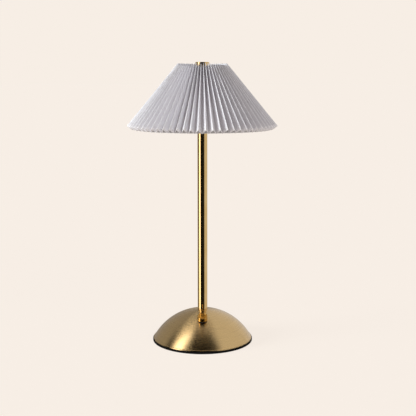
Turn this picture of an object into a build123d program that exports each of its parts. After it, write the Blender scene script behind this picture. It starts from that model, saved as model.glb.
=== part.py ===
"""Cordless table lamp: a domed brass base, a slim stem and a pleated cone shade.

Millimetres, +Z up. The origin is on the floor, on the lamp's axis, and the front,
where the dimmer knob stands, faces -Y.
"""

import os
from math import asin, atan, cos, degrees, radians, sin, sqrt, tan

from build123d import *

# ---------------------------------------------------------------- driving dimensions
FOOT_HEIGHT = 3.5
FOOT_RADIUS = 77.2
FOOT_INNER_RADIUS = 67.0
PLATE_RADIUS = 74.0
PLATE_THICKNESS = 2.0

DOME_RADIUS = 76.0
DOME_RISE = 44.9
DOME_WALL = 1.5
LIP_RADIUS = 0.9

STEM_RADIUS = 7.5
STEM_WALL = 1.2
STEM_TOP = 337.5

KNOB_REACH = 36.0
KNOB_RADIUS = 7.75
KNOB_HEIGHT = 6.5
KNOB_GAP = 1.7
PRESS_TRAVEL = 0.6
SHAFT_RADIUS = 3.0
RUNNING_GAP = 0.05

RIDGE_BOTTOM = (113.4, 333.9)
RIDGE_TOP = (37.1, 425.9)
VALLEY_BOTTOM = (106.1, 328.0)
VALLEY_TOP = (28.7, 419.1)
PLEAT_COUNT = 68
CLOTH_THICKNESS = 0.3
LINING_THICKNESS = 0.5
GLUE_GAP = 0.1
LOW, HIGH = 320.0, 432.0

FINIAL_RADIUS = 10.3
FINIAL_TOP = 427.6
STUD_RADIUS = 3.0
STUD_TOP = 424.0
HUB_BOTTOM = 412.4
HUB_THICKNESS = 3.0
HUB_RADIUS = 10.0
ARM_AZIMUTHS = (90, 210, 330)
ARM_RADIUS = 1.3

CELL_RADIUS = 9.2
CELL_LENGTH = 65.2

WIRE_RADIUS = 1.0
LEAD_RADIUS = 0.8
BEND_SHARE = 0.45

# ---------------------------------------------------------------- worked-out places
DOME_SPHERE = (DOME_RADIUS**2 + DOME_RISE**2) / (2 * DOME_RISE)
DOME_CENTRE_Z = FOOT_HEIGHT + DOME_RISE - DOME_SPHERE
LAND_RADIUS = STEM_RADIUS + 0.3
STEM_FOOT = DOME_CENTRE_Z + sqrt(DOME_SPHERE**2 - LAND_RADIUS**2)


def plane_on_dome(tilt, side):
    """A plane that touches the dome at this tilt from vertical; side is -1 in front."""
    normal = (0, side * sin(radians(tilt)), cos(radians(tilt)))
    touch = (0, DOME_SPHERE * normal[1], DOME_CENTRE_Z + DOME_SPHERE * normal[2])
    return Plane(origin=touch, x_dir=(1, 0, 0), z_dir=normal)


KNOB_TILT = degrees(asin(KNOB_REACH / DOME_SPHERE))
knob_plane = plane_on_dome(KNOB_TILT, -1)
USB_TILT = 54.0
usb_plane = plane_on_dome(USB_TILT, 1)


def ridge_radius(z):
    """Radius of the pleats' outer folds at this height."""
    slope = (RIDGE_TOP[0] - RIDGE_BOTTOM[0]) / (RIDGE_TOP[1] - RIDGE_BOTTOM[1])
    return RIDGE_BOTTOM[0] + (z - RIDGE_BOTTOM[1]) * slope


def valley_radius(z):
    """Radius of the pleats' inner folds at this height."""
    slope = (VALLEY_TOP[0] - VALLEY_BOTTOM[0]) / (VALLEY_TOP[1] - VALLEY_BOTTOM[1])
    return VALLEY_BOTTOM[0] + (z - VALLEY_BOTTOM[1]) * slope


def mitre(z):
    """How far inwards the inner face of the cloth lies from the outer at this height."""
    half_step = ridge_radius(z) * sin(radians(180 / PLEAT_COUNT))
    depth = ridge_radius(z) - valley_radius(z)
    return CLOTH_THICKNESS * sqrt(depth**2 + half_step**2) / half_step


def cloth_shift(z):
    """The same, straight from one end of the pleats' loft to the other."""
    share = (z - LOW) / (HIGH - LOW)
    return mitre(LOW) + share * (mitre(HIGH) - mitre(LOW))


def star(z, inwards=0.0):
    """The pleats' zigzag outline at one height, as a list of points."""
    points = []
    for number in range(PLEAT_COUNT):
        for radius, half in ((valley_radius(z), 0.0), (ridge_radius(z), 0.5)):
            angle = radians(360 * (number + half) / PLEAT_COUNT)
            reach = radius - inwards
            points.append((reach * cos(angle), reach * sin(angle)))
    return points


def rod(start, end, radius):
    """A straight round rod between two points."""
    direction = Vector(*end) - Vector(*start)
    with BuildPart() as piece:
        with BuildSketch(Plane(origin=start, z_dir=direction.normalized())):
            Circle(radius)
        extrude(amount=direction.length)
    return piece.part


def bend_radii(points):
    """For each corner, the largest arc that its two runs have room for."""
    corners = [Vector(*point) for point in points]
    radii = []
    for before, corner, after in zip(corners, corners[1:], corners[2:]):
        runs = (corner - before, after - corner)
        half_turn = radians(runs[0].get_angle(runs[1]) / 2)
        radii.append(BEND_SHARE * min(run.length for run in runs) / tan(half_turn))
    return radii


def lead(points, radius):
    """A round wire along these points, with a wide arc at each corner."""
    with BuildPart() as piece:
        with BuildLine() as route:
            FilletPolyline(*points, radius=bend_radii(points))
        with BuildSketch(Plane(origin=route.wire() @ 0, z_dir=route.wire() % 0)):
            Circle(radius)
        sweep(path=route.wire())
    return piece.part


def save(builder, name):
    """Label a finished piece and write its STEP file."""
    builder.part.label = name
    export_step(builder.part, f"parts/{name}.step")


os.makedirs("parts", exist_ok=True)

# ================================================================ base
# Rubber foot: the steel plate nests in its rebate, and the dome's lip stands on its rim.
FOOT_ROUND = 0.6
with BuildPart() as foot_ring:
    with BuildSketch():
        Circle(FOOT_RADIUS)
        Circle(FOOT_INNER_RADIUS, mode=Mode.SUBTRACT)
    extrude(amount=FOOT_HEIGHT)
    fillet(foot_ring.edges().filter_by(GeomType.CIRCLE).group_by(SortBy.RADIUS)[-1], FOOT_ROUND)
    with BuildSketch(Plane.XY.offset(FOOT_HEIGHT)):
        Circle(PLATE_RADIUS)
    extrude(amount=-PLATE_THICKNESS, mode=Mode.SUBTRACT)
save(foot_ring, "foot_ring")

PLATE_SCREW_CIRCLE = 56.0
PLATE_SCREW_RADIUS = 2.0
PLATE_SCREW_HEAD = 3.8
COUNTERSINK_TAPER = degrees(atan((PLATE_SCREW_HEAD - PLATE_SCREW_RADIUS) / PLATE_THICKNESS))
PLATE_BOTTOM = FOOT_HEIGHT - PLATE_THICKNESS
with BuildPart() as bottom_plate:
    with BuildSketch(Plane.XY.offset(PLATE_BOTTOM)):
        Circle(PLATE_RADIUS)
    extrude(amount=PLATE_THICKNESS)
    with BuildSketch(Plane.XY.offset(PLATE_BOTTOM)):
        with PolarLocations(PLATE_SCREW_CIRCLE, 4, start_angle=45):
            Circle(PLATE_SCREW_HEAD)
    extrude(amount=PLATE_THICKNESS, taper=COUNTERSINK_TAPER, mode=Mode.SUBTRACT)
save(bottom_plate, "bottom_plate")

WEIGHT_RADIUS = 66.0
WEIGHT_HEIGHT = 8.0
WEIGHT_TOP = FOOT_HEIGHT + WEIGHT_HEIGHT
PLATE_SCREW_DEPTH = 6.0
NIPPLE_RADIUS = 5.0
NUT_POCKET_RADIUS = 11.0
NUT_POCKET_DEPTH = 5.0
POCKET_DEPTH = 3.0
TRAY_WIDTH = 70.0
TRAY_FRONT = 6.2
TRAY_BACK = 45.6
TRAY_FLOOR_Z = WEIGHT_TOP - POCKET_DEPTH
TRAY_WALL = 1.2
TRAY_HEIGHT = 11.0
STANDOFFS = [(sx * 21.0, y) for sx in (-1, 1) for y in (-12.0, -28.0)]
STANDOFF_RADIUS = 2.6
STANDOFF_HEIGHT = 4.5
SMALL_SCREW_RADIUS = 1.25
SMALL_SCREW_DEPTH = 3.0
SMALL_HEAD_RADIUS = 2.3
SMALL_HEAD_HEIGHT = 1.5
TRAY_SCREWS = [(sx * 38.5, 20.0) for sx in (-1, 1)]

# Cast-iron ballast, with a pocket for the battery tray and a notch for the inlet.
NOTCH_WIDTH = 26.0
NOTCH_LENGTH = 20.0
NOTCH_FRONT = 49.5
with BuildPart() as base_weight:
    with BuildSketch(Plane.XY.offset(FOOT_HEIGHT)):
        Circle(WEIGHT_RADIUS)
        Circle(NIPPLE_RADIUS, mode=Mode.SUBTRACT)
        with PolarLocations(PLATE_SCREW_CIRCLE, 4, start_angle=45):
            Circle(PLATE_SCREW_RADIUS, mode=Mode.SUBTRACT)
    extrude(amount=WEIGHT_HEIGHT)
    with BuildSketch(Plane.XY.offset(FOOT_HEIGHT)):
        Circle(NUT_POCKET_RADIUS)
    extrude(amount=NUT_POCKET_DEPTH, mode=Mode.SUBTRACT)
    with BuildSketch(Plane.XY.offset(WEIGHT_TOP)):
        with Locations((0, (TRAY_FRONT + TRAY_BACK) / 2)):
            Rectangle(TRAY_WIDTH, TRAY_BACK - TRAY_FRONT)
    extrude(amount=-POCKET_DEPTH, mode=Mode.SUBTRACT)
    with BuildSketch(Plane.XY.offset(FOOT_HEIGHT)):
        with Locations((0, NOTCH_FRONT)):
            Rectangle(NOTCH_WIDTH, NOTCH_LENGTH, align=(Align.CENTER, Align.MIN))
    extrude(amount=WEIGHT_HEIGHT, mode=Mode.SUBTRACT)
    with BuildSketch(Plane.XY.offset(WEIGHT_TOP)):
        with Locations(*STANDOFFS, *TRAY_SCREWS):
            Circle(SMALL_SCREW_RADIUS)
    extrude(amount=-SMALL_SCREW_DEPTH, mode=Mode.SUBTRACT)
save(base_weight, "base_weight")

# Four countersunk screws hold the plate to the ballast.
HEX_RADIUS = 1.25
HEX_DEPTH = 0.9
with BuildPart() as plate_screws:
    with BuildSketch(Plane.XY.offset(PLATE_BOTTOM)):
        with PolarLocations(PLATE_SCREW_CIRCLE, 4, start_angle=45):
            Circle(PLATE_SCREW_HEAD)
    extrude(amount=PLATE_THICKNESS, taper=COUNTERSINK_TAPER)
    with BuildSketch(Plane.XY.offset(PLATE_BOTTOM)):
        with PolarLocations(PLATE_SCREW_CIRCLE, 4, start_angle=45):
            Circle(PLATE_SCREW_RADIUS)
    extrude(amount=PLATE_THICKNESS + PLATE_SCREW_DEPTH)
    with BuildSketch(Plane.XY.offset(PLATE_BOTTOM)):
        with PolarLocations(PLATE_SCREW_CIRCLE, 4, start_angle=45):
            RegularPolygon(HEX_RADIUS, 6)
    extrude(amount=HEX_DEPTH, mode=Mode.SUBTRACT)
save(plate_screws, "plate_screws")

# Spun cover: one spherical arc with a rolled lip and a small flat land for the stem,
# pierced for nipple, dimmer and inlet.
DIMMER_THREAD = 3.6
BEZEL_LENGTH = 15.0
BEZEL_WIDTH = 8.0
with BuildPart() as base_dome:
    with BuildSketch(Plane.XZ):
        with Locations((0, DOME_CENTRE_Z)):
            Circle(DOME_SPHERE)
            Circle(DOME_SPHERE - DOME_WALL, mode=Mode.SUBTRACT)
        with Locations((NIPPLE_RADIUS, FOOT_HEIGHT)):
            Rectangle(DOME_RADIUS, STEM_FOOT - FOOT_HEIGHT, align=Align.MIN, mode=Mode.INTERSECT)
        with Locations((DOME_RADIUS - LIP_RADIUS + 0.1, FOOT_HEIGHT + LIP_RADIUS)):
            Circle(LIP_RADIUS)
    revolve(axis=Axis.Z)
    with BuildSketch(knob_plane):
        Circle(DIMMER_THREAD)
    extrude(amount=2 * DOME_WALL, both=True, mode=Mode.SUBTRACT)
    with BuildSketch(usb_plane):
        SlotOverall(BEZEL_LENGTH, BEZEL_WIDTH)
    extrude(amount=2 * DOME_WALL, both=True, mode=Mode.SUBTRACT)
save(base_dome, "base_dome")

# ================================================================ tie through the base
NIPPLE_BORE = 3.4
NIPPLE_TOP = 58.0
NUT_FACE = FOOT_HEIGHT + NUT_POCKET_DEPTH
WASHER_THICKNESS = 1.2
NUT_HEIGHT = 3.4
NUT_RADIUS = 8.6
NIPPLE_WASHER_RADIUS = 9.5
NIPPLE_BOTTOM = NUT_FACE - WASHER_THICKNESS - NUT_HEIGHT
SLOT_LOW, SLOT_HIGH = 20.0, 30.0
SLOT_WIDTH = 4.5
with BuildPart() as stem_nipple:
    with BuildSketch(Plane.XY.offset(NIPPLE_BOTTOM)):
        Circle(NIPPLE_RADIUS)
        Circle(NIPPLE_BORE, mode=Mode.SUBTRACT)
    extrude(amount=NIPPLE_TOP - NIPPLE_BOTTOM)
    # The window that lets the lamp's lead out towards the control board.
    with BuildSketch(Plane.XY.offset(SLOT_LOW)):
        Rectangle(SLOT_WIDTH, NIPPLE_RADIUS + 1, align=(Align.CENTER, Align.MAX))
    extrude(amount=SLOT_HIGH - SLOT_LOW, mode=Mode.SUBTRACT)
save(stem_nipple, "stem_nipple")

with BuildPart() as nipple_washer:
    with BuildSketch(Plane.XY.offset(NUT_FACE - WASHER_THICKNESS)):
        Circle(NIPPLE_WASHER_RADIUS)
        Circle(NIPPLE_RADIUS, mode=Mode.SUBTRACT)
    extrude(amount=WASHER_THICKNESS)
save(nipple_washer, "nipple_washer")

with BuildPart() as nipple_nut:
    with BuildSketch(Plane.XY.offset(NIPPLE_BOTTOM)):
        RegularPolygon(NUT_RADIUS, 6)
        Circle(NIPPLE_RADIUS, mode=Mode.SUBTRACT)
    extrude(amount=NUT_HEIGHT)
save(nipple_nut, "nipple_nut")

# ================================================================ battery
CELL_Z = TRAY_FLOOR_Z + TRAY_WALL + CELL_RADIUS
CELL_GAP = 0.2
CELL_INSET = TRAY_WALL + CELL_GAP + CELL_RADIUS
CELL_YS = (TRAY_FRONT + CELL_INSET, TRAY_BACK - CELL_INSET)
EAR_RADIUS = 4.0
EAR_THICKNESS = 1.6
EAR_ROOT = 2.6
with BuildPart() as battery_tray:
    with BuildSketch(Plane.XY.offset(TRAY_FLOOR_Z)):
        with Locations((0, (TRAY_FRONT + TRAY_BACK) / 2)):
            Rectangle(TRAY_WIDTH, TRAY_BACK - TRAY_FRONT)
    extrude(amount=TRAY_HEIGHT)
    with BuildSketch(Plane.XY.offset(TRAY_FLOOR_Z + TRAY_WALL)):
        with Locations((0, (TRAY_FRONT + TRAY_BACK) / 2)):
            Rectangle(TRAY_WIDTH - 2 * TRAY_WALL, TRAY_BACK - TRAY_FRONT - 2 * TRAY_WALL)
    extrude(amount=TRAY_HEIGHT, mode=Mode.SUBTRACT)
    # Two ears on the ballast carry the screws.
    with BuildSketch(Plane.XY.offset(WEIGHT_TOP)):
        for x, y in TRAY_SCREWS:
            with Locations((x, y)):
                Circle(EAR_RADIUS)
            with Locations((x - EAR_ROOT * x / abs(x), y)):
                Rectangle(2, 2 * EAR_RADIUS)
        with Locations(*TRAY_SCREWS):
            Circle(SMALL_SCREW_RADIUS, mode=Mode.SUBTRACT)
        with Locations((0, 20)):
            Rectangle(TRAY_WIDTH - 1, 30, mode=Mode.SUBTRACT)
    extrude(amount=EAR_THICKNESS)
save(battery_tray, "battery_tray")

TERMINAL_RADIUS = 3.0
TERMINAL_LENGTH = 1.0
with BuildPart() as battery_cells:
    for cell_y in CELL_YS:
        cell_plane = Plane(origin=(0, cell_y, CELL_Z), x_dir=(0, 1, 0), z_dir=(1, 0, 0))
        with BuildSketch(cell_plane):
            Circle(CELL_RADIUS)
        extrude(amount=CELL_LENGTH / 2 - TERMINAL_LENGTH, both=True)
        with BuildSketch(cell_plane):
            Circle(TERMINAL_RADIUS)
        extrude(amount=CELL_LENGTH / 2)
save(battery_cells, "battery_cells")

with BuildPart() as tray_screws:
    with BuildSketch(Plane.XY.offset(WEIGHT_TOP - SMALL_SCREW_DEPTH)):
        with Locations(*TRAY_SCREWS):
            Circle(SMALL_SCREW_RADIUS)
    extrude(amount=SMALL_SCREW_DEPTH + EAR_THICKNESS)
    with BuildSketch(Plane.XY.offset(WEIGHT_TOP + EAR_THICKNESS)):
        with Locations(*TRAY_SCREWS):
            Circle(SMALL_HEAD_RADIUS)
    extrude(amount=SMALL_HEAD_HEIGHT)
save(tray_screws, "tray_screws")

# ================================================================ control board
BOARD_Z = WEIGHT_TOP + STANDOFF_HEIGHT
BOARD_THICKNESS = 1.6
BOARD_Y = -20.0
BOARD_LENGTH = 50.0
BOARD_WIDTH = 24.0
with BuildPart() as board_standoffs:
    with BuildSketch(Plane.XY.offset(WEIGHT_TOP)):
        with Locations(*STANDOFFS):
            Circle(STANDOFF_RADIUS)
            Circle(SMALL_SCREW_RADIUS, mode=Mode.SUBTRACT)
    extrude(amount=STANDOFF_HEIGHT)
save(board_standoffs, "board_standoffs")

with BuildPart() as control_board:
    with BuildSketch(Plane.XY.offset(BOARD_Z)):
        with Locations((0, BOARD_Y)):
            RectangleRounded(BOARD_LENGTH, BOARD_WIDTH, 2)
        with Locations(*STANDOFFS):
            Circle(SMALL_SCREW_RADIUS, mode=Mode.SUBTRACT)
    extrude(amount=BOARD_THICKNESS)
save(control_board, "control_board")

BOARD_TOP = BOARD_Z + BOARD_THICKNESS
with BuildPart() as board_screws:
    with BuildSketch(Plane.XY.offset(WEIGHT_TOP - SMALL_SCREW_DEPTH)):
        with Locations(*STANDOFFS):
            Circle(SMALL_SCREW_RADIUS)
    extrude(amount=BOARD_TOP - WEIGHT_TOP + SMALL_SCREW_DEPTH)
    with BuildSketch(Plane.XY.offset(BOARD_TOP)):
        with Locations(*STANDOFFS):
            Circle(SMALL_HEAD_RADIUS)
    extrude(amount=SMALL_HEAD_HEIGHT)
save(board_screws, "board_screws")

# Chip, inductor, capacitor and four wire connectors.
BATTERY_PLUG = (-12.0, -11.5)
USB_PLUG = (12.0, -11.5)
LAMP_PLUG = (0.0, -14.0)
DIMMER_PLUG = (-3.0, -29.6)
CHIP_SIDE = 7.0
CHIP_HEIGHT = 1.1
INDUCTOR_SIDE = 8.0
INDUCTOR_HEIGHT = 4.0
CAPACITOR_RADIUS = 3.0
CAPACITOR_HEIGHT = 5.0
PLUG_LENGTH = 6.0
PLUG_WIDTH = 4.0
PLUG_HEIGHT = 3.5
PLUG_TOP = BOARD_TOP + PLUG_HEIGHT
with BuildPart() as board_parts:
    with BuildSketch(Plane.XY.offset(BOARD_TOP)):
        with Locations((-9, -23)):
            Rectangle(CHIP_SIDE, CHIP_SIDE)
    extrude(amount=CHIP_HEIGHT)
    with BuildSketch(Plane.XY.offset(BOARD_TOP)):
        with Locations((5, -22)):
            RectangleRounded(INDUCTOR_SIDE, INDUCTOR_SIDE, 1.5)
    extrude(amount=INDUCTOR_HEIGHT)
    with BuildSketch(Plane.XY.offset(BOARD_TOP)):
        with Locations((13, -24)):
            Circle(CAPACITOR_RADIUS)
    extrude(amount=CAPACITOR_HEIGHT)
    with BuildSketch(Plane.XY.offset(BOARD_TOP)):
        with Locations(BATTERY_PLUG, USB_PLUG, LAMP_PLUG, DIMMER_PLUG):
            Rectangle(PLUG_LENGTH, PLUG_WIDTH)
    extrude(amount=PLUG_HEIGHT)
save(board_parts, "board_parts")

# ================================================================ charging inlet
# The bezel sits flush in the dome and is stopped from inside by a wider flange.
BEZEL_PROUD = 0.5
BEZEL_DEPTH = 3.6
BEZEL_FLANGE = 4.0
FLANGE_TOP = 2.3
SOCKET_WIDTH = 8.9
SOCKET_HEIGHT = 3.2
SOCKET_LENGTH = 7.4
with BuildPart() as usb_bezel:
    with BuildSketch(usb_plane.offset(-BEZEL_DEPTH)):
        SlotOverall(BEZEL_LENGTH + BEZEL_FLANGE, BEZEL_WIDTH + BEZEL_FLANGE)
    extrude(amount=BEZEL_DEPTH - FLANGE_TOP)
    with BuildSketch(usb_plane.offset(-BEZEL_DEPTH)):
        SlotOverall(BEZEL_LENGTH, BEZEL_WIDTH)
    extrude(amount=BEZEL_DEPTH + BEZEL_PROUD)
    with BuildSketch(usb_plane.offset(-BEZEL_DEPTH)):
        SlotOverall(SOCKET_WIDTH, SOCKET_HEIGHT)
    extrude(amount=BEZEL_DEPTH + BEZEL_PROUD, mode=Mode.SUBTRACT)
save(usb_bezel, "usb_bezel")

SOCKET_FACE = -0.3
SOCKET_WALL = 0.3
TONGUE_WIDTH = 6.2
TONGUE_THICKNESS = 0.7
with BuildPart() as usb_socket:
    with BuildSketch(usb_plane.offset(SOCKET_FACE)):
        SlotOverall(SOCKET_WIDTH, SOCKET_HEIGHT)
    extrude(amount=-SOCKET_LENGTH)
    with BuildSketch(usb_plane.offset(SOCKET_FACE)):
        SlotOverall(SOCKET_WIDTH - 2 * SOCKET_WALL, SOCKET_HEIGHT - 2 * SOCKET_WALL)
        Rectangle(TONGUE_WIDTH, TONGUE_THICKNESS, mode=Mode.SUBTRACT)
    extrude(amount=-SOCKET_LENGTH + 1, mode=Mode.SUBTRACT)
save(usb_socket, "usb_socket")

# The small board lies on the flat of the socket that faces the floor.
INLET_BOARD_WIDTH = 14.0
INLET_BOARD_LENGTH = 8.0
with BuildPart() as usb_board:
    with BuildSketch(usb_plane.offset(-BEZEL_DEPTH)):
        with Locations((0, SOCKET_HEIGHT / 2)):
            Rectangle(INLET_BOARD_WIDTH, 1, align=(Align.CENTER, Align.MIN))
    extrude(amount=-INLET_BOARD_LENGTH)
save(usb_board, "usb_board")

# ================================================================ dimmer
BODY_TOP = 2.4
BODY_DEPTH = 9.5
BODY_SIDE = 14.0
SHAFT_FOOT = -7.4
PLUNGER_RADIUS = 4.0
PLUNGER_HEIGHT = 1.0
CAVITY_RADIUS = 4.4
COLLAR_TOP = 3.2
with BuildPart() as dimmer_body:
    with BuildSketch(knob_plane.offset(-BODY_TOP)):
        RectangleRounded(BODY_SIDE, BODY_SIDE, 1)
    extrude(amount=-BODY_DEPTH)
    with BuildSketch(knob_plane.offset(-BODY_TOP)):
        Circle(DIMMER_THREAD)
    extrude(amount=BODY_TOP + COLLAR_TOP)
    with BuildSketch(knob_plane.offset(COLLAR_TOP)):
        Circle(SHAFT_RADIUS + RUNNING_GAP)
    extrude(amount=SHAFT_FOOT - COLLAR_TOP, mode=Mode.SUBTRACT)
    with BuildSketch(knob_plane.offset(SHAFT_FOOT)):
        Circle(CAVITY_RADIUS)
    extrude(amount=-PLUNGER_HEIGHT - PRESS_TRAVEL, mode=Mode.SUBTRACT)
save(dimmer_body, "dimmer_body")

# The shaft presses this disc, which travels in the cavity below the bore.
with BuildPart() as switch_plunger:
    with BuildSketch(knob_plane.offset(SHAFT_FOOT)):
        Circle(PLUNGER_RADIUS)
    extrude(amount=-PLUNGER_HEIGHT)
save(switch_plunger, "switch_plunger")

DIMMER_WASHER = 0.9
DIMMER_WASHER_RADIUS = 7.2
DIMMER_NUT_RADIUS = 5.4
with BuildPart() as dimmer_washer:
    with BuildSketch(knob_plane):
        Circle(DIMMER_WASHER_RADIUS)
        Circle(DIMMER_THREAD, mode=Mode.SUBTRACT)
    extrude(amount=DIMMER_WASHER)
save(dimmer_washer, "dimmer_washer")

NUT_TOP = COLLAR_TOP - 0.3
with BuildPart() as dimmer_nut:
    with BuildSketch(knob_plane.offset(DIMMER_WASHER)):
        RegularPolygon(DIMMER_NUT_RADIUS, 6)
        Circle(DIMMER_THREAD, mode=Mode.SUBTRACT)
    extrude(amount=NUT_TOP - DIMMER_WASHER)
save(dimmer_nut, "dimmer_nut")

KNOB_TOP = KNOB_GAP + KNOB_HEIGHT
SHAFT_TOP = KNOB_TOP - 1.5
with BuildPart() as dimmer_shaft:
    with BuildSketch(knob_plane.offset(SHAFT_FOOT)):
        Circle(SHAFT_RADIUS)
    extrude(amount=SHAFT_TOP - SHAFT_FOOT)
save(dimmer_shaft, "dimmer_shaft")

# Turned knob: a raised rim round a shallow dish, hollow below for the nut.
KNOB_ROUND = 0.5
DISH_RADIUS = 6.3
DISH_DEPTH = 0.35
HOLLOW_RADIUS = 6.2
HOLLOW_TOP = 4.3
SET_SCREW_RADIUS = 0.9
SET_SCREW_LEVEL = 5.6
SET_SCREW_SINK = 0.8
SET_SCREW_HEX = 0.5
set_screw_plane = Plane(
    origin=knob_plane.from_local_coords((0, 0, SET_SCREW_LEVEL)),
    x_dir=(1, 0, 0),
    z_dir=knob_plane.y_dir,
)
with BuildPart() as dimmer_knob:
    with BuildSketch(knob_plane.offset(KNOB_GAP)):
        Circle(KNOB_RADIUS)
    extrude(amount=KNOB_HEIGHT)
    fillet(dimmer_knob.edges().filter_by(GeomType.CIRCLE), KNOB_ROUND)
    with BuildSketch(knob_plane.offset(KNOB_TOP)):
        Circle(DISH_RADIUS)
    extrude(amount=-DISH_DEPTH, taper=45, mode=Mode.SUBTRACT)
    with BuildSketch(knob_plane.offset(KNOB_GAP)):
        Circle(HOLLOW_RADIUS)
    extrude(amount=HOLLOW_TOP - KNOB_GAP, mode=Mode.SUBTRACT)
    with BuildSketch(knob_plane.offset(KNOB_GAP)):
        Circle(SHAFT_RADIUS)
    extrude(amount=SHAFT_TOP - KNOB_GAP, mode=Mode.SUBTRACT)
    with BuildSketch(set_screw_plane):
        Circle(SET_SCREW_RADIUS)
    extrude(amount=KNOB_RADIUS + 1, mode=Mode.SUBTRACT)
save(dimmer_knob, "dimmer_knob")

with BuildPart() as knob_set_screw:
    with BuildSketch(set_screw_plane.offset(SHAFT_RADIUS)):
        Circle(SET_SCREW_RADIUS)
    extrude(amount=KNOB_RADIUS - SHAFT_RADIUS - SET_SCREW_SINK)
    with BuildSketch(set_screw_plane.offset(KNOB_RADIUS - SET_SCREW_SINK)):
        RegularPolygon(SET_SCREW_HEX, 6)
    extrude(amount=-SET_SCREW_SINK, mode=Mode.SUBTRACT)
save(knob_set_screw, "knob_set_screw")

# ================================================================ leads in the base
dimmer_outlet = knob_plane.from_local_coords((DIMMER_PLUG[0], 0, -BODY_TOP - BODY_DEPTH))
dimmer_turn = knob_plane.from_local_coords((DIMMER_PLUG[0], 0, -BODY_TOP - BODY_DEPTH - 3.4))
usb_outlet = usb_plane.from_local_coords((7, SOCKET_HEIGHT / 2 + 0.5, -8))
BATTERY_ROUTE = [
    (BATTERY_PLUG[0], TRAY_FRONT, 15.0),
    (BATTERY_PLUG[0], 2.0, 15.0),
    (BATTERY_PLUG[0], -4.0, 24.0),
    (BATTERY_PLUG[0], BATTERY_PLUG[1], 25.6),
    (*BATTERY_PLUG, PLUG_TOP),
]
USB_ROUTE = [
    (usb_outlet.X, usb_outlet.Y, usb_outlet.Z),
    (10.5, usb_outlet.Y, usb_outlet.Z),
    (11.0, 59.5, 13.6),
    (25.0, 51.0, 14.0),
    (40.0, 45.0, 14.5),
    (43.7, 28.0, 15.6),
    (40.0, 8.0, 17.0),
    (28.0, -4.0, 20.0),
    (16.0, -9.5, 25.0),
    (*USB_PLUG, 24.6),
    (*USB_PLUG, PLUG_TOP),
]
DIMMER_ROUTE = [
    (dimmer_outlet.X, dimmer_outlet.Y, dimmer_outlet.Z),
    (dimmer_turn.X, dimmer_turn.Y, dimmer_turn.Z),
    (*DIMMER_PLUG, PLUG_TOP),
]
with BuildPart() as base_leads:
    for route in (BATTERY_ROUTE, USB_ROUTE, DIMMER_ROUTE):
        add(lead(route, LEAD_RADIUS))
save(base_leads, "base_leads")

# ================================================================ stem
STEM_BORE = STEM_RADIUS - STEM_WALL
BUSHING_TOP = 60.0
HEAD_PLUG_LENGTH = 14.0
WIRE_HOLE = 1.2
WIRE_REACH = 4.4
STUD_FOOT = STEM_TOP - 9.0
with BuildPart() as stem_tube:
    with BuildSketch(Plane.XY.offset(STEM_FOOT)):
        Circle(STEM_RADIUS)
        Circle(STEM_BORE, mode=Mode.SUBTRACT)
    extrude(amount=STEM_TOP - STEM_FOOT)
save(stem_tube, "stem_tube")

with BuildPart() as stem_foot_bushing:
    with BuildSketch(Plane.XY.offset(STEM_FOOT)):
        Circle(STEM_BORE)
        Circle(NIPPLE_RADIUS, mode=Mode.SUBTRACT)
    extrude(amount=BUSHING_TOP - STEM_FOOT)
save(stem_foot_bushing, "stem_foot_bushing")

with BuildPart() as stem_head_bushing:
    with BuildSketch(Plane.XY.offset(STEM_TOP - HEAD_PLUG_LENGTH)):
        Circle(STEM_BORE)
        with Locations((WIRE_REACH, 0)):
            Circle(WIRE_HOLE, mode=Mode.SUBTRACT)
    extrude(amount=HEAD_PLUG_LENGTH)
    with BuildSketch(Plane.XY.offset(STEM_TOP)):
        Circle(STUD_RADIUS)
    extrude(amount=STUD_FOOT - STEM_TOP, mode=Mode.SUBTRACT)
save(stem_head_bushing, "stem_head_bushing")

# ================================================================ lamp head
FIN_HEIGHT = 6.0
FIN_GAP = 2.2
FIN_DEPTH = 11.0
CARRIER_RADIUS = 22.0
FLANGE_RADIUS = 24.0
FLANGE_HEIGHT = 2.5
SEAT_HEIGHT = 4.0
FIN_COUNT = 20
LED_SCREWS = 2
LED_SCREW_CIRCLE = 9.0
LED_SCREW_DEPTH = 4.0
CARRIER_TOP = STEM_TOP + FIN_HEIGHT + FLANGE_HEIGHT + SEAT_HEIGHT
with BuildPart() as led_carrier:
    with BuildSketch(Plane.XY.offset(STEM_TOP)):
        Circle(CARRIER_RADIUS)
    extrude(amount=CARRIER_TOP - STEM_TOP)
    with BuildSketch(Plane.XY.offset(STEM_TOP + FIN_HEIGHT)):
        Circle(FLANGE_RADIUS)
    extrude(amount=FLANGE_HEIGHT)
    with BuildSketch(Plane.XY.offset(STEM_TOP)):
        with PolarLocations(CARRIER_RADIUS, FIN_COUNT):
            Rectangle(2 * FIN_DEPTH, FIN_GAP)
    extrude(amount=FIN_HEIGHT, mode=Mode.SUBTRACT)
    with BuildSketch(Plane.XY.offset(STEM_TOP)):
        Circle(STUD_RADIUS)
        with Locations((WIRE_REACH, 0)):
            Circle(WIRE_HOLE)
    extrude(amount=CARRIER_TOP - STEM_TOP, mode=Mode.SUBTRACT)
    with BuildSketch(Plane.XY.offset(CARRIER_TOP)):
        with PolarLocations(LED_SCREW_CIRCLE, LED_SCREWS, start_angle=90):
            Circle(SMALL_SCREW_RADIUS)
    extrude(amount=-LED_SCREW_DEPTH, mode=Mode.SUBTRACT)
save(led_carrier, "led_carrier")

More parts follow.
